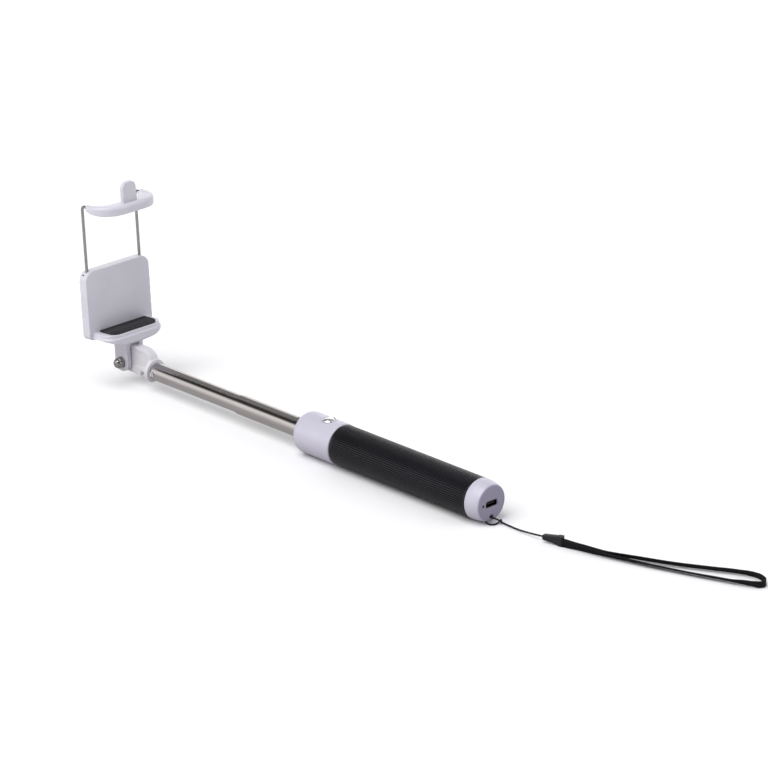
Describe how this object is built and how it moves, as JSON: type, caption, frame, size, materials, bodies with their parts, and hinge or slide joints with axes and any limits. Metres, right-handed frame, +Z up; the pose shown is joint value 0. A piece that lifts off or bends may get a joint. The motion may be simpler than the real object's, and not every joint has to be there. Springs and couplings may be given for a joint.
{
  "type": "selfie stick",
  "caption": "Telescoping selfie stick with a ribbed handle, shutter button, tilting spring-wire phone clamp and a wrist strap.",
  "frame": {"origin": "Under the middle of the stick, without its strap, at the height of the table that the handle lies on.", "axes": "Z is up. Y runs along the stick from the charging end to the phone clamp. X is the clamp hinge's axis."},
  "size_m": [0.0776, 0.5081, 0.1333],
  "materials": {
    "white_abs": "glossy white plastic with a faint lavender tint",
    "black_grip": "satin black rubber with fine lengthwise ribs",
    "dark_core": "matt dark plastic",
    "polished_steel": "polished bare steel",
    "chrome": "bright chrome plate",
    "brass_shim": "bare brass",
    "pad_rubber": "matt dark grey rubber",
    "circuit_board": "green board lacquer",
    "switch_plastic": "black moulded plastic",
    "cell_foil": "foil pouch",
    "foam": "soft black foam",
    "flex_film": "amber film",
    "clear_pipe": "frosted clear plastic",
    "strap_fabric": "woven black nylon",
    "strap_cord": "braided black nylon",
    "clip_plastic": "dark satin plastic"
  },
  "bodies": {
    "handle": {"grip_sleeve": "black_grip", "end_cap": "white_abs", "handle_core": "dark_core", "front_collar": "white_abs", "button_bezel": "chrome", "button_board": "circuit_board", "tact_switch": "switch_plastic", "fixed_tube": "polished_steel", "tube_end_plug": "dark_core", "tube_rear_seat": "dark_core", "tube_front_seat": "dark_core", "main_board": "circuit_board", "charging_port": "polished_steel", "port_tongue": "switch_plastic", "light_pipe": "clear_pipe", "status_light": "clear_pipe", "battery": "cell_foil", "battery_foam": "foam", "flex_cable": "flex_film", "strap_hitch": "strap_cord", "strap_cord": "strap_cord", "strap_webbing": "strap_fabric", "strap_clip": "clip_plastic"},
    "shutter": {"shutter_button": "chrome"},
    "large_section": {"large_tube": "polished_steel", "large_tube_shim": "brass_shim"},
    "middle_section": {"middle_tube": "polished_steel", "middle_tube_shim": "brass_shim"},
    "small_section": {"small_tube": "polished_steel", "small_tube_shim": "brass_shim", "hinge_plug": "white_abs", "plug_screw": "chrome"},
    "clamp": {"lower_jaw": "white_abs", "back_cover": "white_abs", "cover_screws": "chrome", "lower_jaw_pad": "pad_rubber", "hinge_bolt": "chrome", "hinge_nut": "chrome", "hinge_washers": "dark_core"},
    "jaw": {"upper_jaw": "white_abs", "upper_jaw_pad": "pad_rubber", "jaw_wires": "chrome", "wire_stops": "dark_core"}
  },
  "joints": [
    {"name": "shutter_press", "type": "slide", "parent": "handle", "child": "shutter", "axis": [0, 0, 1], "range_m": [-0.0005, 0], "stiffness_N_per_m": 1500, "springref_m": 0.0003},
    {"name": "large_tube_slide", "type": "slide", "parent": "handle", "child": "large_section", "axis": [0, 1, 0], "range_m": [-0.005, 0.087]},
    {"name": "middle_tube_slide", "type": "slide", "parent": "large_section", "child": "middle_section", "axis": [0, 1, 0], "range_m": [-0.05, 0.0415]},
    {"name": "small_tube_slide", "type": "slide", "parent": "middle_section", "child": "small_section", "axis": [0, 1, 0], "range_m": [-0.073, 0.0153]},
    {"name": "clamp_tilt", "type": "hinge", "parent": "small_section", "child": "clamp", "pos_m": [0, 0.15093, 0.014], "axis": [1, 0, 0], "range_deg": [-86, 6]},
    {"name": "jaw_slide", "type": "slide", "parent": "clamp", "child": "jaw", "axis": [0, 0.0698, 0.9976], "range_m": [-0.022, 0.008]}
  ]
}
